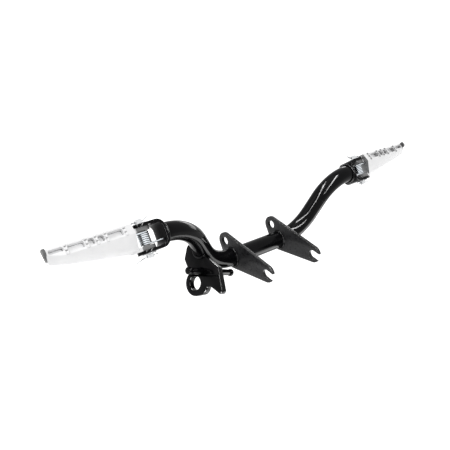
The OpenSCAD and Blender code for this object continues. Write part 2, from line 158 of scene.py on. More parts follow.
class FootrestStage(bpy.types.PropertyGroup):
    """Camera, floor and light"""

    camera_at: bpy.props.FloatVectorProperty(
        name="Camera", description="Place of the camera", size=3,
        default=(-0.4741, -0.42778, 0.4077), subtype="TRANSLATION", unit="LENGTH")
    camera_turn: bpy.props.FloatVectorProperty(
        name="Camera turn", description="Turn of the camera about X, Y and Z", size=3,
        default=tuple(math.radians(a) for a in (57.3416, -7.9713, -39.9209)), subtype="EULER")
    lens: bpy.props.FloatProperty(
        name="Lens", description="Focal length on a sensor 36 mm wide", default=47.304,
        min=1.0, unit="CAMERA")
    floor_drop: bpy.props.FloatProperty(
        name="Floor", description="Depth of the floor below the lowest point",
        default=0.09, min=0.0, unit="LENGTH")
    ambient: bpy.props.FloatProperty(
        name="Ambient light", description="Strength of the even light from all round",
        default=0.98, min=0.0)
    softbox: bpy.props.FloatProperty(
        name="Softbox", description="Power of the large soft lamp overhead, in watts",
        default=2.2, min=0.0, unit="POWER")
    strip: bpy.props.FloatProperty(
        name="Strip lamps", description="Brightness of the long thin lamps on the paint",
        default=115.0, min=0.0)
    panel: bpy.props.FloatProperty(
        name="Wide panels", description="Brightness of the wide panels as a share of the strips",
        default=0.06, min=0.0, max=1.0, subtype="FACTOR")
    rim: bpy.props.FloatProperty(
        name="Rim lamps", description="Brightness on the bracket's rims as a share of the strips",
        default=1.6, min=0.0, max=4.0)
    strip_width: bpy.props.FloatProperty(
        name="Strip width", description="Width of the long thin lamps", default=0.14,
        min=0.0, unit="LENGTH")


def settings():
    """The three groups of settings: sizes, paint and stage."""
    scene = bpy.context.scene
    return scene.footrest_sizes, scene.footrest_paint, scene.footrest_stage


# ---------------------------------------------------------------- materials

# Grain of each finish: the scale and the detail of its noise
PAINT_TONE = (90.0, 4.0)
PAINT_SHEEN = (240.0, 5.0)
ORANGE_PEEL = (620.0, 3.0)
CAST_CLOUD = (70.0, 5.0)
CAST_SHEEN = (500.0, 4.0)
SAND_GRAIN = (2200.0, 4.0)
ZINC_CLOUD = (260.0, 4.0)
ZINC_SHEEN = (900.0, 3.0)
ZINC_GRAIN = (3000.0, 2.0)

# Painted shade in the nooks of each finish: how far it looks, and the open share where the shade
# is full and where there is none
PAINT_NOOK_SHADE = (20.0 * MM, 0.45, 0.95)
CAST_NOOK_SHADE = (1.6 * MM, 0.45, 0.8)
ZINC_NOOK_SHADE = (1.2 * MM, 0.4, 0.85)
RAY_SAMPLES = 8

# Footpegs: where the lugs end and the raised lips start, from the middle of the tube,
# and the share of the colour that is left there, on the inward faces and in the nooks:
# painted shade on the lugs inside the clevis, the inward faces and the nooks, and a painted dark
# reflection on the lips
LUG_TO = 185.0 * MM
LUG_SHADE_SHARE = 0.24
LIP_FROM = CAD_BOX[1][0] - 3.5 * MM
LIP_DARK_REFLECTION_SHARE = 0.16
INWARD_SHADE_FACING = (-0.75, -0.35)
INWARD_SHADE_SHARE = 0.3
CAST_NOOK_SHADE_SHARE = 0.05


def new_material(name):
    """A material with its shader, and helpers that add and join nodes."""
    made = bpy.data.materials.new(name)
    made.use_nodes = True
    tree = made.node_tree
    shader = tree.nodes["Principled BSDF"]

    def add(kind, **values):
        node = tree.nodes.new(kind)
        for key, value in values.items():
            setattr(node, key, value)
        return node

    return made, tree, shader, add


def spread_out(tree, add, source, first, last, low, high):
    """Stretches a value's range from first to last over the range from low to high."""
    spread = add("ShaderNodeMapRange")
    for label, value in (("From Min", first), ("From Max", last), ("To Min", low),
                         ("To Max", high)):
        spread.inputs[label].default_value = value
    tree.links.new(source, spread.inputs["Value"])
    return spread.outputs["Result"]


def mottle(tree, add, grain, low=0.0, high=1.0):
    """Noise on the object's own coordinates, spread between two values."""
    place = add("ShaderNodeTexCoord")
    noise = add("ShaderNodeTexNoise")
    for label, value in zip(("Scale", "Detail"), grain):
        noise.inputs[label].default_value = value
    tree.links.new(place.outputs["Object"], noise.inputs["Vector"])
    return spread_out(tree, add, noise.outputs["Fac"], 0.3, 0.7, low, high)


def relief(tree, add, shader, height, strength, distance):
    """Gives the surface a fine relief of that height."""
    bump = add("ShaderNodeBump")
    bump.inputs["Strength"].default_value = strength
    bump.inputs["Distance"].default_value = distance
    tree.links.new(height, bump.inputs["Height"])
    tree.links.new(bump.outputs["Normal"], shader.inputs["Normal"])
    return bump


def two_tone(tree, add, factor, first, second):
    """Mixes two colours by a factor."""
    mix = add("ShaderNodeMix", data_type="RGBA")
    mix.inputs["A"].default_value = (*first, 1.0)
    mix.inputs["B"].default_value = (*second, 1.0)
    tree.links.new(factor, mix.inputs["Factor"])
    return mix.outputs["Result"]


def shade(colour, share):
    """The colour times a share, kept within white."""
    return tuple(min(1.0, c * share) for c in colour)


def openness(tree, add, nook, low=0.0, high=1.0):
    """The low value in a nook and the high one in the open."""
    reach, closed, free = nook
    around = add("ShaderNodeAmbientOcclusion", samples=RAY_SAMPLES)
    around.inputs["Distance"].default_value = reach
    return spread_out(tree, add, around.outputs["AO"], closed, free, low, high)


def painted_nook_shade(tree, add, base, dark, nook):
    """Painted shade: the base colour in the open and a dark one in the nooks, where shade falls.
    """
    mixed = two_tone(tree, add, openness(tree, add, nook), dark, dark)
    tree.links.new(base, mixed.node.inputs["B"])
    return mixed


def paint(name, colour, rough, gloss, peel, edge=0.6 * MM):
    """Black enamel: a mottled base, orange peel, a clear gloss, and soft at the edges; the gloss
    is dimmed in the nooks as painted shade.
    """
    made, tree, shader, add = new_material(name)
    tone = mottle(tree, add, PAINT_TONE)
    base = two_tone(tree, add, tone, shade(colour, 0.8), shade(colour, 1.35))
    tree.links.new(base, shader.inputs["Base Color"])
    tree.links.new(mottle(tree, add, PAINT_SHEEN, rough * 0.75, rough * 1.3),
                   shader.inputs["Roughness"])
    # painted shade: the gloss is dimmed in the nooks
    tree.links.new(openness(tree, add, PAINT_NOOK_SHADE, gloss * 0.1, gloss),
                   shader.inputs["Specular IOR Level"])
    bump = relief(tree, add, shader, mottle(tree, add, ORANGE_PEEL), peel, 0.12 * MM)
    soft_edge = add("ShaderNodeBevel", samples=RAY_SAMPLES)
    soft_edge.inputs["Radius"].default_value = edge
    tree.links.new(soft_edge.outputs["Normal"], bump.inputs["Normal"])
    return made


def cast_metal(name, colour):
    """Cast aluminium: sand grain and clouding, with painted shade on the lugs, the inward faces
    and the nooks, and a painted dark reflection on the lips.
    """
    made, tree, shader, add = new_material(name)
    unshaded = two_tone(tree, add, mottle(tree, add, CAST_CLOUD), shade(colour, 0.96),
                     shade(colour, 1.04))
    place = add("ShaderNodeTexCoord")
    parts = add("ShaderNodeSeparateXYZ")
    facing = add("ShaderNodeSeparateXYZ")
    tree.links.new(place.outputs["Object"], parts.inputs["Vector"])
    tree.links.new(place.outputs["Normal"], facing.inputs["Vector"])
    reach = add("ShaderNodeMath", operation="ABSOLUTE")
    side = add("ShaderNodeMath", operation="SIGN")
    outward = add("ShaderNodeMath", operation="MULTIPLY")
    tree.links.new(parts.outputs["X"], reach.inputs[0])
    tree.links.new(parts.outputs["X"], side.inputs[0])
    tree.links.new(facing.outputs["X"], outward.inputs[0])
    tree.links.new(side.outputs[0], outward.inputs[1])
    colour_now = unshaded
    # painted shade on the inward faces and on the lugs inside the clevis, and a painted dark
    # reflection on the lips
    for source, first, last, low, high in (
            (outward, *INWARD_SHADE_FACING, INWARD_SHADE_SHARE, 1.0),
            (reach, LUG_TO, LUG_TO + 0.8 * MM, LUG_SHADE_SHARE, 1.0),
            (reach, LIP_FROM, LIP_FROM + 0.4 * MM, 1.0, LIP_DARK_REFLECTION_SHARE)):
        dimmed = add("ShaderNodeVectorMath", operation="SCALE")
        tree.links.new(colour_now, dimmed.inputs[0])
        tree.links.new(spread_out(tree, add, source.outputs[0], first, last, low, high),
                       dimmed.inputs["Scale"])
        colour_now = dimmed.outputs[0]
    # painted shade: the colour is darker in the nooks
    base = painted_nook_shade(tree, add, colour_now, shade(colour, CAST_NOOK_SHADE_SHARE), CAST_NOOK_SHADE)
    tree.links.new(base, shader.inputs["Base Color"])
    tree.links.new(mottle(tree, add, CAST_SHEEN, 0.34, 0.52), shader.inputs["Roughness"])
    shader.inputs["Metallic"].default_value = 0.35
    relief(tree, add, shader, mottle(tree, add, SAND_GRAIN), 0.35, 0.1 * MM)
    return made


def plated_metal(name, colour, rough):
    """Plated steel: thin clouding, fine grain and a bright shine, with painted shade in the
    nooks.
    """
    made, tree, shader, add = new_material(name)
    unshaded = two_tone(tree, add, mottle(tree, add, ZINC_CLOUD), shade(colour, 0.85),
                     shade(colour, 1.12))
    # painted shade: the colour is darker in the nooks
    base = painted_nook_shade(tree, add, unshaded, shade(colour, 0.1), ZINC_NOOK_SHADE)
    tree.links.new(base, shader.inputs["Base Color"])
    tree.links.new(mottle(tree, add, ZINC_SHEEN, rough * 0.8, rough * 1.25),
                   shader.inputs["Roughness"])
    shader.inputs["Metallic"].default_value = 1.0
    relief(tree, add, shader, mottle(tree, add, ZINC_GRAIN), 0.2, 0.05 * MM)
    return made


def finish_named(name):
    """The finish of that name, made the first time that a piece asks for it."""
    if name in bpy.data.materials:
        return bpy.data.materials[name]
    _, colours, _ = settings()
    makers = {
        "gloss_black": lambda: paint(name, colours.tube, rough=0.08, gloss=0.08, peel=0.1),
        "bracket_black": lambda: paint(name, colours.tube, rough=0.12, gloss=0.07, peel=0.1,
                                       edge=1.2 * MM),
        "satin_black": lambda: paint(name, colours.plate, rough=0.3, gloss=0.2, peel=0.3),
        "weld_black": lambda: paint(name, colours.tube, rough=0.16, gloss=0.1, peel=0.3),
        "cast_aluminium": lambda: cast_metal(name, colours.peg),
        "zinc_plate": lambda: plated_metal(name, colours.zinc, rough=0.3),
        "bright_spring": lambda: plated_metal(name, colours.spring, rough=0.2),
    }
    return makers[name]()


# ---------------------------------------------------------------- meshes

# Mending of a copied solid: closer points are merged, and shorter edges and near-flat
# joins are dissolved. Edges below the last angle, in degrees, are shaded smooth.
SAME_POINT = 0.002 * MM
SHORTEST_EDGE = 0.03 * MM
FLAT_WITHIN = math.radians(0.6)
SMOOTH_BELOW = 38.0

# The bracket's edges are this much rounder than the plates', and the post's are their own
BRACKET_ROUNDER = 2.6
POST_EDGE = 0.3 * MM


def coat(piece, finish):
    """Gives a piece one finish and no other."""
    piece.data.materials.clear()
    piece.data.materials.append(finish_named(finish))


def dress(piece, material, slot, body, *stands_for):
    """Gives a piece its finish, the nodes that it replaces and its body; its slot is not used."""
    coat(piece, material)
    if stands_for:
        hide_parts(*stands_for)
    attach(piece, body)


def link_mesh(name, mesh):
    """An object at the origin that shows the mesh."""
    piece = bpy.data.objects.new(name, mesh)
    bpy.context.scene.collection.objects.link(piece)
    return piece


def rounded_copy(node, name, width, crease=32.0, segments=2, clamped=True):
    """A copy of a solid whose sharp edges are rounded, as cut, cast or painted edges are."""
    shape = bmesh.new()
    shape.from_mesh(frame["nodes"][node].data)
    bmesh.ops.remove_doubles(shape, verts=shape.verts, dist=SAME_POINT)
    bmesh.ops.dissolve_limit(shape, angle_limit=FLAT_WITHIN, verts=shape.verts,
                             edges=shape.edges)
    bmesh.ops.dissolve_degenerate(shape, dist=SHORTEST_EDGE, edges=shape.edges)
    limit = math.radians(crease)
    sharp = [e for e in shape.edges if e.is_manifold and e.calc_face_angle(0.0) > limit]
    bmesh.ops.bevel(shape, geom=sharp, offset=width, offset_type="OFFSET",
                    segments=segments, profile=0.6, affect="EDGES", clamp_overlap=clamped)
    bmesh.ops.triangulate(shape, faces=[f for f in shape.faces if len(f.verts) > 4])
    mesh = bpy.data.meshes.new(name)
    shape.to_mesh(mesh)
    shape.free()
    if "custom_normal" in mesh.attributes:
        mesh.attributes.remove(mesh.attributes["custom_normal"])
    for polygon in mesh.polygons:
        polygon.use_smooth = True
    mesh.set_sharp_from_angle(angle=math.radians(SMOOTH_BELOW))
    return link_mesh(name, mesh)


# ---------------------------------------------------------------- node trees

# Sides of the swept rings, and the points along a spring's wire
SPRING_SIDES = 16
BEAD_SIDES = 12
SPLIT_PIN_SIDES = 14
SPRING_POINTS = 380
SPLIT_PIN_STEP = 0.3 * MM

# Weld bead: steps of the route in a ripple, and how its width runs along it
BEAD_STEP = 0.16
BEAD_BASE = 0.86
BEAD_WAVE = 0.16
BEAD_RISE = 0.6
BEAD_UNEVEN = 0.5
BEAD_NOISE = 160.0
BEAD_SEED_STEP = 3.7


class TreeMaker:
    """Adds nodes to a geometry tree, and keeps its named inputs."""

    def __init__(self, name, inputs):
        self.tree = bpy.data.node_groups.new(name, "GeometryNodeTree")
        self.tree.interface.new_socket("Geometry", in_out="INPUT",
                                       socket_type="NodeSocketGeometry")
        self.ids = {}
        for label, kind, value in inputs:
            socket = self.tree.interface.new_socket(label, in_out="INPUT", socket_type=kind)
            if value is not None:
                socket.default_value = value
            self.ids[label] = socket.identifier
        self.tree.interface.new_socket("Geometry", in_out="OUTPUT",
                                       socket_type="NodeSocketGeometry")
        self.given = self.tree.nodes.new("NodeGroupInput")

    def add(self, kind, **values):
        """A new node with those settings."""
        node = self.tree.nodes.new(kind)
        for key, value in values.items():
            setattr(node, key, value)
        return node

    def join(self, source, target):
        """Links an output to an input."""
        self.tree.links.new(source, target)

    def maths(self, operation, *values):
        """The result of a sum of numbers and outputs."""
        node = self.add("ShaderNodeMath", operation=operation)
        for socket, value in zip(node.inputs, values):
            if isinstance(value, (int, float)):
                socket.default_value = value
            else:
                self.join(value, socket)
        return node.outputs[0]

    def swept(self, curve, radius, sides):
        """A closed round rod along a curve."""
        ring = self.add("GeometryNodeCurvePrimitiveCircle")
        ring.inputs["Resolution"].default_value = sides
        self.join(radius, ring.inputs["Radius"])
        sweep = self.add("GeometryNodeCurveToMesh")
        sweep.inputs["Fill Caps"].default_value = True
        self.join(curve, sweep.inputs["Curve"])
        self.join(ring.outputs[0], sweep.inputs["Profile Curve"])
        return sweep.outputs[0]

    def end(self, geometry, material):
        """Realizes what the tree made, and gives it its material."""
        real = self.add("GeometryNodeRealizeInstances")
        finish = self.add("GeometryNodeSetMaterial")
        smooth = self.add("GeometryNodeSetShadeSmooth")
        out = self.add("NodeGroupOutput")
        self.join(geometry, real.inputs[0])
        self.join(real.outputs[0], smooth.inputs["Geometry"])
        self.join(smooth.outputs[0], finish.inputs["Geometry"])
        self.join(material, finish.inputs["Material"])
        self.join(finish.outputs[0], out.inputs[0])
        return self.tree


def spring_tree():
    """A torsion spring: a leg, a close coil about Y and a second leg, as one round wire."""
    make = TreeMaker("torsion_spring", (
        ("Wire radius", "NodeSocketFloat", 0.001), ("Coil radius", "NodeSocketFloat", 0.006),
        ("Pitch", "NodeSocketFloat", 0.002), ("Turns", "NodeSocketFloat", 6.0),
        ("First leg", "NodeSocketFloat", 0.018), ("Second leg", "NodeSocketFloat", 0.015),
        ("Points", "NodeSocketInt", SPRING_POINTS), ("Material", "NodeSocketMaterial", None)))
    given = make.given.outputs
    line = make.add("GeometryNodeCurvePrimitiveLine")
    dense = make.add("GeometryNodeResampleCurve")
    make.join(line.outputs[0], dense.inputs["Curve"])
    make.join(given["Points"], dense.inputs["Count"])
    share = make.add("GeometryNodeSplineParameter").outputs["Factor"]
    turn_length = make.maths("MULTIPLY", given["Coil radius"], 2.0 * math.pi)
    coil_length = make.maths("MULTIPLY", turn_length, given["Turns"])
    whole = make.maths("ADD", make.maths("ADD", coil_length, given["First leg"]),
                       given["Second leg"])
    along = make.maths("SUBTRACT", make.maths("MULTIPLY", share, whole), given["First leg"])
    before = make.maths("MINIMUM", along, 0.0)
    after = make.maths("MAXIMUM", make.maths("SUBTRACT", along, coil_length), 0.0)
    wound = make.maths("SUBTRACT", make.maths("SUBTRACT", along, before), after)
    angle = make.maths("DIVIDE", wound, given["Coil radius"])
    x = make.maths("ADD", make.maths("MULTIPLY", make.maths("SINE", angle),
                                     given["Coil radius"]),
                   make.maths("ADD", before, after))
    half = make.maths("MULTIPLY", make.maths("MULTIPLY", given["Pitch"], given["Turns"]), 0.5)
    rise = make.maths("MULTIPLY", make.maths("DIVIDE", wound, turn_length), given["Pitch"])
    y = make.maths("SUBTRACT", rise, half)
    z = make.maths("MULTIPLY", make.maths("COSINE", angle), given["Coil radius"])
    place = make.add("ShaderNodeCombineXYZ")
    for socket, value in zip(place.inputs, (x, y, z)):
        make.join(value, socket)
    moved = make.add("GeometryNodeSetPosition")
    make.join(dense.outputs[0], moved.inputs["Geometry"])
    make.join(place.outputs[0], moved.inputs["Position"])
    wire = make.swept(moved.outputs[0], given["Wire radius"], SPRING_SIDES)
    return make, make.end(wire, given["Material"])


def bead_tree():
    """A weld bead that follows a curve: a round run with ripples and a slightly uneven width."""
    make = TreeMaker("weld_bead", (
        ("Bead radius", "NodeSocketFloat", 0.002), ("Ripple", "NodeSocketFloat", 0.0015),
        ("Seed", "NodeSocketFloat", 0.0), ("Material", "NodeSocketMaterial", None)))
    given = make.given.outputs
    dense = make.add("GeometryNodeResampleCurve", mode="LENGTH")
    make.join(given["Geometry"], dense.inputs["Curve"])
    make.join(make.maths("MULTIPLY", given["Ripple"], BEAD_STEP), dense.inputs["Length"])
    length = make.add("GeometryNodeSplineParameter").outputs["Length"]
    count = make.maths("DIVIDE", length, given["Ripple"])
    wave = make.maths("POWER", make.maths("FRACT", count), BEAD_RISE)
    noise = make.add("ShaderNodeTexNoise", noise_dimensions="4D")
    noise.inputs["Scale"].default_value = BEAD_NOISE
    make.join(given["Seed"], noise.inputs["W"])
    uneven = make.maths("MULTIPLY", make.maths("SUBTRACT", noise.outputs[0], 0.5),
                        BEAD_UNEVEN)
    rippled = make.maths("ADD", make.maths("MULTIPLY", wave, BEAD_WAVE), BEAD_BASE)
    width = make.maths("ADD", rippled, uneven)
    wide = make.add("GeometryNodeSetCurveRadius")
    make.join(dense.outputs[0], wide.inputs["Curve"])
    make.join(width, wide.inputs["Radius"])
    bead = make.swept(wide.outputs[0], given["Bead radius"], BEAD_SIDES)
    return make, make.end(bead, given["Material"])


def pin_wire_tree():
    """A split pin's wire: a round rod along the curve that it is given."""
    make = TreeMaker("pin_wire", (
        ("Rod radius", "NodeSocketFloat", 0.0007), ("Material", "NodeSocketMaterial", None)))
    given = make.given.outputs
    dense = make.add("GeometryNodeResampleCurve", mode="LENGTH")
    dense.inputs["Length"].default_value = SPLIT_PIN_STEP
    make.join(given["Geometry"], dense.inputs["Curve"])
    wire = make.swept(dense.outputs[0], given["Rod radius"], SPLIT_PIN_SIDES)
    return make, make.end(wire, given["Material"])


TREES = {}


def tree_named(name, maker):
    """The tree of that name, built the first time that it is asked for."""
    if name not in TREES:
        TREES[name] = maker()
    return TREES[name]


def grown(name, source, tree_and_maker, values, place=Matrix.Identity(4)):
    """Runs a tree on an object, and keeps the result as a plain mesh in its place."""
    make, tree = tree_and_maker
    holder = bpy.data.objects.new(name + "_source", source)
    bpy.context.scene.collection.objects.link(holder)
    modifier = holder.modifiers.new("Form", "NODES")
    modifier.node_group = tree
    for label, value in values.items():
        modifier[make.ids[label]] = value
    bpy.context.view_layer.update()
    graph = bpy.context.evaluated_depsgraph_get()
    mesh = bpy.data.meshes.new_from_object(holder.evaluated_get(graph))
    bpy.data.objects.remove(holder)
    mesh.transform(place)
    if place.determinant() < 0.0:
        mesh.flip_normals()
    mesh.name = name
    return link_mesh(name, mesh)


def route_curve(name, points):
    """A curve of straight steps through a list of points."""
    curve = bpy.data.curves.new(name, "CURVE")
    curve.dimensions = "3D"
    spline = curve.splines.new("POLY")
    spline.points.add(len(points) - 1)
    for knot, point in zip(spline.points, points):
        knot.co = (*point, 1.0)
    return curve


def eased(points, rounds):
    """Cuts the corners of a route, and keeps its two ends."""
    for _ in range(rounds):
        cut = [points[0]]
        for here, there in zip(points, points[1:]):
            cut += [here.lerp(there, 0.25), here.lerp(there, 0.75)]
        points = cut + [points[-1]]
    return points


# Split pins, in millimetres along and across their own shank
SPLIT_PIN_AT = 18.8 * MM
SHANK = 4.65
STRAND = 0.675
EYE = 2.35
EYE_BACK = 6.901


def split_route(end, leg):
    """A split pin's wire: long leg, shank, eye, shank again and the bent leg."""
    eye = [(EYE * math.cos(t) - EYE_BACK, 0.0, EYE * math.sin(t))
           for t in (math.radians(a) for a in range(37, 335, 20))]
    return [(SHANK + leg, end * 3.5, 1.5), (SHANK + 1.3, 0.0, STRAND), (SHANK, 0.0, STRAND),
            (-SHANK, 0.0, STRAND), *eye, (-SHANK, 0.0, -STRAND), (SHANK, 0.0, -STRAND),
            (SHANK + 1.3, end * 0.3, -1.2), (SHANK + 1.4, end * 1.2, -2.4),
            (SHANK + 0.6, end * 2.4, -5.0)]


# The tube, in millimetres: its radius, the middle's axis and the arms' ends
TUBE_R = 11.0
MIDDLE_AXIS = Vector((0.0, -17.0, -13.5))
WEB_X = 153.42
ARM_Z = 58.0
PLATE_X = 40.0
LUG_AT = Vector((-96.36, -17.0, 21.72))
ARM_TILT = math.radians(57.0)
LUG_TILT = math.radians(23.0)

# Welds: their arcs in degrees round the tube, from the front over the top, and how far
# in millimetres a bead stands off the tube and off the middle or the face of its piece
PLATE_ARCS = ((52, 128), (176, 236), (292, 352))
PLATE_HALF = 2.4
STRAP_BACK = 0.5
BRACKET_ARC = (203, 330)
BRACKET_FACES = (("outer", 0.3), ("inner", 8.4))
BEAD_OUT = 0.45
ARC_STEPS = 60


def ring_run(centre, axis, first, last, face=None):
    """Points round a tube at a plate's face, from one angle to the other."""
    across = Vector((0.0, 1.0, 0.0))
    up = across.cross(axis) if axis.cross(across).z < 0.0 else axis.cross(across)
    face = face or axis
    run = []
    for step in range(ARC_STEPS + 1):
        angle = math.radians(first + (last - first) * step / ARC_STEPS)
        spoke = (math.cos(angle) * across + math.sin(angle) * up) * (TUBE_R + BEAD_OUT)
        run.append(centre + spoke - axis * (spoke.dot(face) / axis.dot(face)))
    return run


def weld_runs():
    """Every weld bead: its name and its route in millimetres."""
    along = Vector((1.0, 0.0, 0.0))
    runs = []
    for side, sign in SIDES:
        for face, word in ((-1, "outer"), (1, "inner")):
            at = MIDDLE_AXIS + along * (sign * PLATE_X + sign * -face * PLATE_HALF)
            for part, (first, last) in enumerate(PLATE_ARCS):
                runs.append((f"weld_plate_{side}_{word}_{part}",
                             ring_run(at, along, first, last)))
        end = Vector((sign * (WEB_X - STRAP_BACK), MIDDLE_AXIS.y, ARM_Z))
        runs.append((f"weld_strap_{side}", ring_run(end, along, 0, 360)))
    arm = Vector((-math.cos(ARM_TILT), 0.0, math.sin(ARM_TILT)))
    square = Vector((math.cos(LUG_TILT), 0.0, -math.sin(LUG_TILT)))
    for word, depth in BRACKET_FACES:
        runs.append((f"weld_bracket_{word}",
                     ring_run(LUG_AT + square * depth, arm, *BRACKET_ARC, face=square)))
    return runs


def hinge_place(side):
    """The hinge's own frame: X outwards, Y up along the pin and Z off the tread."""
    joint = next(j for j in frame["joints"] if j["name"] == f"peg_{side}_fold")
    along = Vector((0.0, abs(joint["axis"][1]), abs(joint["axis"][2]))).normalized()
    outwards = Vector((math.copysign(1.0, joint["pos_m"][0]), 0.0, 0.0))
    off = Vector((1.0, 0.0, 0.0)).cross(along)
    turn = Matrix((outwards, along, off)).transposed().to_4x4()
    return Matrix.Translation(joint["pos_m"]) @ turn


# ---------------------------------------------------------------- stage values

# Soft lamps: the place, the width and the share of the softbox's power
SOFTBOXES = (("softbox_top", (-0.25, 0.25, 1.1), 1.0, 1.0),
             ("softbox_side", (-0.9, 0.5, 0.5), 0.7, 0.6))
SOFTBOX_AIM = Vector((0.0, 0.0, 0.02))
STRIP_AIM = Vector((0.0, -0.04, 0.03))

# Floor: half its width, its colour, and the glow that makes it white to the camera
FLOOR_REACH = 6.0
FLOOR_COLOUR = (0.8, 0.8, 0.8, 1.0)
FLOOR_GLOW = 0.72


# ---------------------------------------------------------------- operators

class FOOTREST_OT_tube(bpy.types.Operator):
    """Gives the cross tube its gloss black enamel"""
    bl_idname = "footrest.tube"
    bl_label = "Cross tube"

    def execute(self, context):
        coat(frame["nodes"]["cross_tube"], "gloss_black")
        return {"FINISHED"}


class FOOTREST_OT_plates(bpy.types.Operator):
    """Makes the two engine plates with rounded edges"""
    bl_idname = "footrest.plates"
    bl_label = "Engine plates"

    def execute(self, context):
        sizes, _, _ = settings()
        for side, _ in SIDES:
            node = f"engine_plate_{side}"
            plate = rounded_copy(node, f"painted_plate_{side}", sizes.plate_edge)
            dress(plate, "satin_black", "plate_black", CARRIER, node)
        return {"FINISHED"}


class FOOTREST_OT_bracket(bpy.types.Operator):
    """Makes the side stand bracket and the post for its spring"""
    bl_idname = "footrest.bracket"
    bl_label = "Stand bracket and post"

    def execute(self, context):
        sizes, _, _ = settings()
        bracket = rounded_copy("stand_bracket", "painted_bracket",
                               BRACKET_ROUNDER * sizes.plate_edge, segments=3, clamped=False)
        dress(bracket, "bracket_black", "plate_black", CARRIER, "stand_bracket")
        post = rounded_copy("stand_spring_post", "spring_post", POST_EDGE)
        dress(post, "gloss_black", "tube_black", CARRIER, "stand_spring_post")
        return {"FINISHED"}


class FOOTREST_OT_clevises(bpy.types.Operator):
    """Makes the bent strap at each end of the tube"""
    bl_idname = "footrest.clevises"
    bl_label = "Clevises"

    def execute(self, context):
        sizes, _, _ = settings()
        for side, _ in SIDES:
            node = f"clevis_{side}"
            strap = rounded_copy(node, f"bent_strap_{side}", sizes.strap_edge)
            dress(strap, "gloss_black", "tube_black", CARRIER, node)
        return {"FINISHED"}


class FOOTREST_OT_pegs(bpy.types.Operator):
    """Makes the two cast footpegs"""
    bl_idname = "footrest.pegs"
    bl_label = "Footpegs"

    def execute(self, context):
        sizes, _, _ = settings()
        for side, _ in SIDES:
            node = f"peg_{side}"
            peg = rounded_copy(node, f"cast_peg_{side}", sizes.peg_edge, crease=25.0)
            dress(peg, "cast_aluminium", "peg_aluminium", f"footpeg_{side}", node)
        return {"FINISHED"}


class FOOTREST_OT_pins(bpy.types.Operator):
    """Makes the hinge pins and their washers"""
    bl_idname = "footrest.pins"
    bl_label = "Pins and washers"

    def execute(self, context):
        sizes, _, _ = settings()
        for side, _ in SIDES:
            for node in (f"hinge_pin_{side}", f"washer_upper_{side}", f"washer_lower_{side}"):
                piece = rounded_copy(node, f"plated_{node}", sizes.pin_edge)
                dress(piece, "zinc_plate", "zinc", CARRIER, node)
        return {"FINISHED"}


class FOOTREST_OT_springs(bpy.types.Operator):
    """Winds the torsion spring of each footpeg"""
    bl_idname = "footrest.springs"
    bl_label = "Torsion springs"

    def execute(self, context):
        sizes, _, _ = settings()
        for side, _ in SIDES:
            place = hinge_place(side)
            spring = grown(f"wound_spring_{side}", bpy.data.meshes.new("seed"),
                           tree_named("spring", spring_tree),
                           {"Wire radius": sizes.wire / 2.0, "Coil radius": sizes.coil / 2.0,
                            "Pitch": sizes.coil_pitch, "Turns": float(sizes.turns),
                            "First leg": sizes.web_leg, "Second leg": sizes.peg_leg,
                            "Points": SPRING_POINTS, "Material": finish_named("bright_spring")},
                           place)
            coat(spring, "bright_spring")
            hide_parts(f"torsion_spring_{side}")
            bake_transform(spring)
        return {"FINISHED"}


class FOOTREST_OT_split_pins(bpy.types.Operator):
    """Bends the split pins that hold the washers on the hinge pins"""
    bl_idname = "footrest.split_pins"
    bl_label = "Split pins"

    def execute(self, context):
        sizes, _, _ = settings()
        for side, _ in SIDES:
            for level, end in (("upper", 1), ("lower", -1)):
                leg = sizes.split_leg / MM * (0.5 if end > 0 else 1.0)
                turn = Matrix.Scale(-end, 4, Vector((1.0, 0.0, 0.0)))
                place = (hinge_place(side) @ Matrix.Translation((0.0, end * SPLIT_PIN_AT, 0.0))
                         @ turn)
                wire = route_curve(f"split_pin_{level}_{side}_route",
                                   eased([Vector(p) * MM for p in split_route(end, leg)], 2))
                pin = grown(f"bent_split_pin_{level}_{side}", wire,
                            tree_named("pin_wire", pin_wire_tree),
                            {"Rod radius": sizes.split_wire / 2.0,
                             "Material": finish_named("zinc_plate")}, place)
                dress(pin, "zinc_plate", "zinc", CARRIER, f"split_pin_{level}_{side}")
        return {"FINISHED"}


class FOOTREST_OT_welds(bpy.types.Operator):
    """Runs the weld beads that join the plates, the bracket and the straps to the tube"""
    bl_idname = "footrest.welds"
    bl_label = "Welds"

    def execute(self, context):
        sizes, _, _ = settings()
        for number, (name, run) in enumerate(weld_runs()):
            curve = route_curve(f"{name}_route", [Vector(p) * MM for p in run])
            bead = grown(name, curve, tree_named("weld_bead", bead_tree),
                         {"Bead radius": sizes.bead, "Ripple": sizes.ripple,
                          "Seed": BEAD_SEED_STEP * number,
                          "Material": finish_named("weld_black")})
            dress(bead, "weld_black", "tube_black", CARRIER)
        return {"FINISHED"}


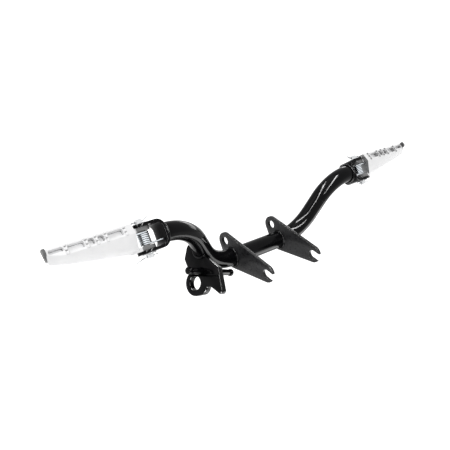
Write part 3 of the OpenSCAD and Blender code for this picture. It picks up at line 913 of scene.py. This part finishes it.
class FOOTREST_OT_stage(bpy.types.Operator):
    """Adds the camera, the floor and the soft light"""
    bl_idname = "footrest.stage"
    bl_label = "Camera, floor and light"

    def execute(self, context):
        _, _, stage = settings()
        scene = context.scene
        scene.view_settings.view_transform = "Standard"
        lens = bpy.data.cameras.new("photo_camera")
        lens.lens = stage.lens
        lens.sensor_width = 36.0
        lens.clip_start, lens.clip_end = 0.01, 50.0
        camera = bpy.data.objects.new("photo_camera", lens)
        camera.location = stage.camera_at
        camera.rotation_euler = Euler(stage.camera_turn, "XYZ")
        scene.collection.objects.link(camera)
        scene.camera = camera

        floor_z = CAD_BOX[0][2] - stage.floor_drop
        sheet = bpy.data.meshes.new("floor")
        sheet.from_pydata([(x * FLOOR_REACH, y * FLOOR_REACH, floor_z)
                           for x, y in ((-1, -1), (1, -1), (1, 1), (-1, 1))],
                          [], [(0, 1, 2, 3)])
        floor = link_mesh("floor", sheet)
        sheet.materials.append(floor_finish())
        light_world(scene, stage.ambient)
        for name, spot, size, share in SOFTBOXES:
            lamp = bpy.data.lights.new(name, "AREA")
            lamp.shape, lamp.size, lamp.energy = "DISK", size, stage.softbox * share
            lamp_object = bpy.data.objects.new(name, lamp)
            lamp_object.location = spot
            aim = SOFTBOX_AIM - Vector(spot)
            lamp_object.rotation_euler = aim.to_track_quat("-Z", "Y").to_euler()
            scene.collection.objects.link(lamp_object)
        painted = pieces_in("painted_pieces", "_black")
        bracket = pieces_in("bracket_pieces", "painted_bracket")
        for name, first, last, wide, bright, lit in (
                ("strip_side", (-0.15, 0.65, 1.1), (-1.7, -0.9, 1.1), stage.strip_width, 1.0,
                 painted),
                ("strip_front", (0.3, 0.0, 1.1), (-0.6, -2.2, 1.1), stage.strip_width, 1.0,
                 painted),
                ("panel_far", (1.6, 1.5, 0.45), (2.3, -0.4, 0.45), 0.5, stage.panel, painted),
                ("panel_floor", (-0.34, -0.09, -0.119), (0.3, -0.09, -0.119), 0.24,
                 stage.panel, painted),
                ("rim_top", (-0.4, 0.75, 1.1), (0.35, 0.75, 1.1), 0.7, stage.rim, bracket),
                ("rim_front", (-0.40, -0.12, -0.09), (-0.22, -0.28, -0.09), 0.2, stage.rim,
                 bracket)):
            strip_lamp(scene, name, Vector(first), Vector(last), wide, stage.strip * bright,
                       lit)
        return {"FINISHED"}


def strip_lamp(scene, name, first, last, wide, bright, lit):
    """A long lamp that only the given pieces reflect, as a bright line or band."""
    lamp = bpy.data.lights.new(name, "AREA")
    lamp.shape = "RECTANGLE"
    lamp.size, lamp.size_y = (last - first).length, wide
    lamp.energy = bright * math.pi * lamp.size * lamp.size_y
    lamp_object = bpy.data.objects.new(name, lamp)
    lamp_object.location = (first + last) / 2.0
    long_way = (last - first).normalized()
    back = (lamp_object.location - STRIP_AIM).normalized()
    side_way = back.cross(long_way).normalized()
    lamp_object.rotation_euler = Matrix((long_way, side_way, long_way.cross(side_way))
                                        ).transposed().to_euler()
    lamp_object.light_linking.receiver_collection = lit
    lamp_object.visible_diffuse = False
    lamp_object.visible_camera = False
    scene.collection.objects.link(lamp_object)


def pieces_in(name, ending):
    """The pieces whose own name or whose finish ends that way, for a lamp to light."""
    group = bpy.data.collections.new(name)
    for piece in bpy.context.scene.objects:
        slots = getattr(piece.data, "materials", None)
        if slots and slots[0] and (slots[0].name.endswith(ending)
                                   or piece.name.endswith(ending)):
            group.objects.link(piece)
    return group


def seen_as_white(tree):
    """1 for the rays that show the white background: camera, glossy and transmission."""
    path = tree.nodes.new("ShaderNodeLightPath")
    seen = path.outputs["Is Camera Ray"]
    for ray in ("Is Glossy Ray", "Is Transmission Ray"):
        either = tree.nodes.new("ShaderNodeMath")
        either.operation = "MAXIMUM"
        tree.links.new(seen, either.inputs[0])
        tree.links.new(path.outputs[ray], either.inputs[1])
        seen = either.outputs[0]
    return seen


def floor_finish():
    """Pale floor: white to the camera, and grey only where the object shades it."""
    made = bpy.data.materials.new("pale_floor")
    made.use_nodes = True
    tree = made.node_tree
    tree.nodes.clear()
    out = tree.nodes.new("ShaderNodeOutputMaterial")
    diffuse = tree.nodes.new("ShaderNodeBsdfDiffuse")
    diffuse.inputs["Color"].default_value = FLOOR_COLOUR
    glow = tree.nodes.new("ShaderNodeEmission")
    glow.inputs["Strength"].default_value = FLOOR_GLOW
    both = tree.nodes.new("ShaderNodeAddShader")
    pick = tree.nodes.new("ShaderNodeMixShader")
    link = tree.links.new
    link(diffuse.outputs[0], both.inputs[0])
    link(glow.outputs[0], both.inputs[1])
    link(seen_as_white(tree), pick.inputs[0])
    link(diffuse.outputs[0], pick.inputs[1])
    link(both.outputs[0], pick.inputs[2])
    link(pick.outputs[0], out.inputs["Surface"])
    return made


def light_world(scene, ambient):
    """White to the camera, to gloss and to glass, and an even plain light on the rest."""
    world = bpy.data.worlds.new("studio")
    scene.world = world
    world.use_nodes = True
    tree = world.node_tree
    tree.nodes.clear()
    out = tree.nodes.new("ShaderNodeOutputWorld")
    even = tree.nodes.new("ShaderNodeBackground")
    even.inputs["Strength"].default_value = ambient
    white = tree.nodes.new("ShaderNodeBackground")
    white.inputs["Color"].default_value = (1.0, 1.0, 1.0, 1.0)
    white.inputs["Strength"].default_value = 1.0
    pick = tree.nodes.new("ShaderNodeMixShader")
    link = tree.links.new
    link(seen_as_white(tree), pick.inputs[0])
    link(even.outputs[0], pick.inputs[1])
    link(white.outputs[0], pick.inputs[2])
    link(pick.outputs[0], out.inputs["Surface"])


class FOOTREST_PT_panel(bpy.types.Panel):
    """Lists the steps that dress the footrest carrier"""
    bl_idname = "FOOTREST_PT_panel"
    bl_label = "Footrest carrier"
    bl_space_type = "VIEW_3D"
    bl_region_type = "UI"
    bl_category = "Footrest"

    def draw(self, context):
        for step in STEPS:
            self.layout.operator(step.bl_idname)
        for group in settings():
            for name in group.__annotations__:
                self.layout.prop(group, name)


GROUPS = (FootrestSizes, FootrestPaint, FootrestStage)
STEPS = (FOOTREST_OT_tube, FOOTREST_OT_plates, FOOTREST_OT_bracket, FOOTREST_OT_clevises,
         FOOTREST_OT_pegs, FOOTREST_OT_pins, FOOTREST_OT_split_pins,
         FOOTREST_OT_springs, FOOTREST_OT_welds, FOOTREST_OT_stage)
CLASSES = (*GROUPS, *STEPS, FOOTREST_PT_panel)


def register():
    for item in CLASSES:
        bpy.utils.register_class(item)
    bpy.types.Scene.footrest_sizes = bpy.props.PointerProperty(type=FootrestSizes)
    bpy.types.Scene.footrest_paint = bpy.props.PointerProperty(type=FootrestPaint)
    bpy.types.Scene.footrest_stage = bpy.props.PointerProperty(type=FootrestStage)


def unregister():
    del bpy.types.Scene.footrest_stage
    del bpy.types.Scene.footrest_paint
    del bpy.types.Scene.footrest_sizes
    for item in reversed(CLASSES):
        bpy.utils.unregister_class(item)


def main():
    register()
    for step in STEPS:
        group, name = step.bl_idname.split(".")
        getattr(getattr(bpy.ops, group), name)()


if __name__ == "__main__":
    main()
